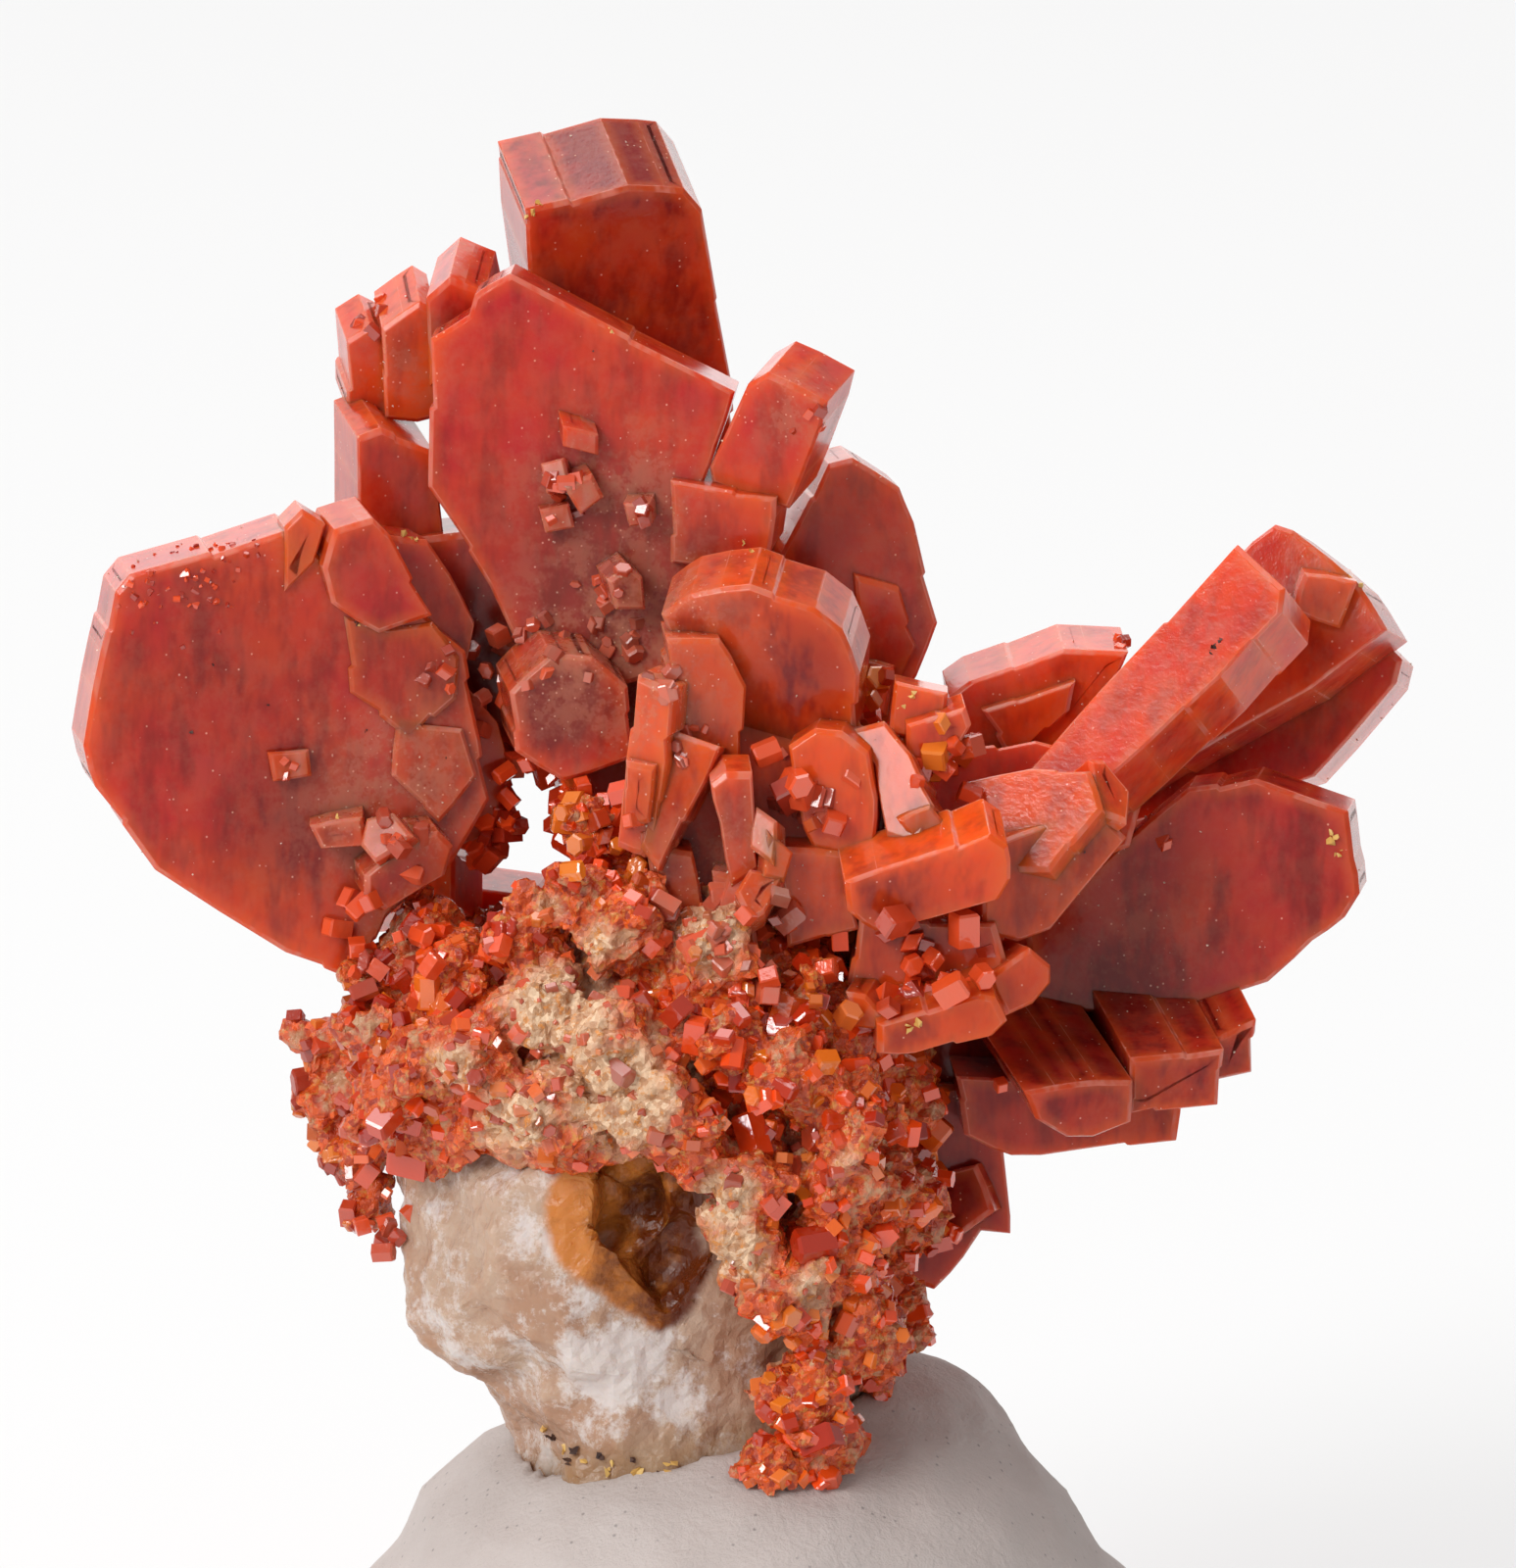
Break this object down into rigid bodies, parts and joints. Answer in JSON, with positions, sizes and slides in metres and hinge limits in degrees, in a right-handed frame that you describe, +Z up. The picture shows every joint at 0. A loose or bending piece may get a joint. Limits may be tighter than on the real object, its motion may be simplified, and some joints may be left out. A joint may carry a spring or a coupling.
{
  "type": "vanadinite specimen",
  "caption": "Small cluster of red tabular and prismatic vanadinite crystals on a druse crust and white calcite, held upright in a lump of mounting putty.",
  "frame": {"origin": "middle of the flat underside of the putty lump", "axes": "+Z up, +X to the right and +Y away from somebody who sees the specimen's front"},
  "size_m": [0.0228, 0.0148, 0.0274],
  "materials": {
    "putty": "matt, finger-pressed, with fine dark specks",
    "calcite": "waxy, slightly translucent",
    "druse": "granular crust with glassy orange-red grains",
    "vanadinite_red": "glassy, translucent, dusted",
    "vanadinite_orange": "glassy, translucent",
    "vanadinite_dark": "glassy, translucent, dark"
  },
  "bodies": {
    "root": {"putty_mount": "putty", "calcite_matrix": "calcite", "druse_crust": "druse", "left_plate_crystals": "vanadinite_red", "top_crystals": "vanadinite_red", "front_crystals": "vanadinite_orange", "upper_right_crystals": "vanadinite_orange", "right_crystals": "vanadinite_orange", "lower_right_crystals": "vanadinite_dark", "rear_crystals": "vanadinite_red"}
  },
  "joints": []
}
